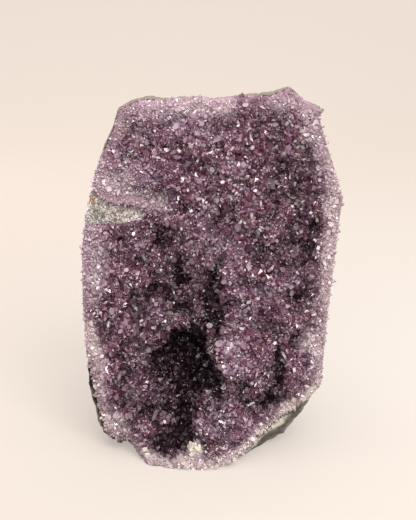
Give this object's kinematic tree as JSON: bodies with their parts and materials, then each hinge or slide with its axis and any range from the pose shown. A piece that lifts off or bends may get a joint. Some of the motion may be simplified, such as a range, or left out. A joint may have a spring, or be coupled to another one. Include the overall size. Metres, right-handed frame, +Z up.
{
  "type": "amethyst geode",
  "caption": "Standing cut-base half of an amethyst geode: a rounded basalt shell and a thin quartz band, lined with a crust of small purple crystals around a deep hollow.",
  "frame": {"origin": "under the middle of the whole geode, on the flat cut that it stands on", "axes": "+X to the right of the crystal face, +Y back into the rock, +Z up"},
  "size_m": [0.1422, 0.1062, 0.2015],
  "materials": {
    "basalt": "rough",
    "quartz": "sugary",
    "amethyst": "glassy"
  },
  "bodies": {
    "root": {"basalt_shell": "basalt", "quartz_band": "quartz", "amethyst_crust": "amethyst"}
  },
  "joints": []
}
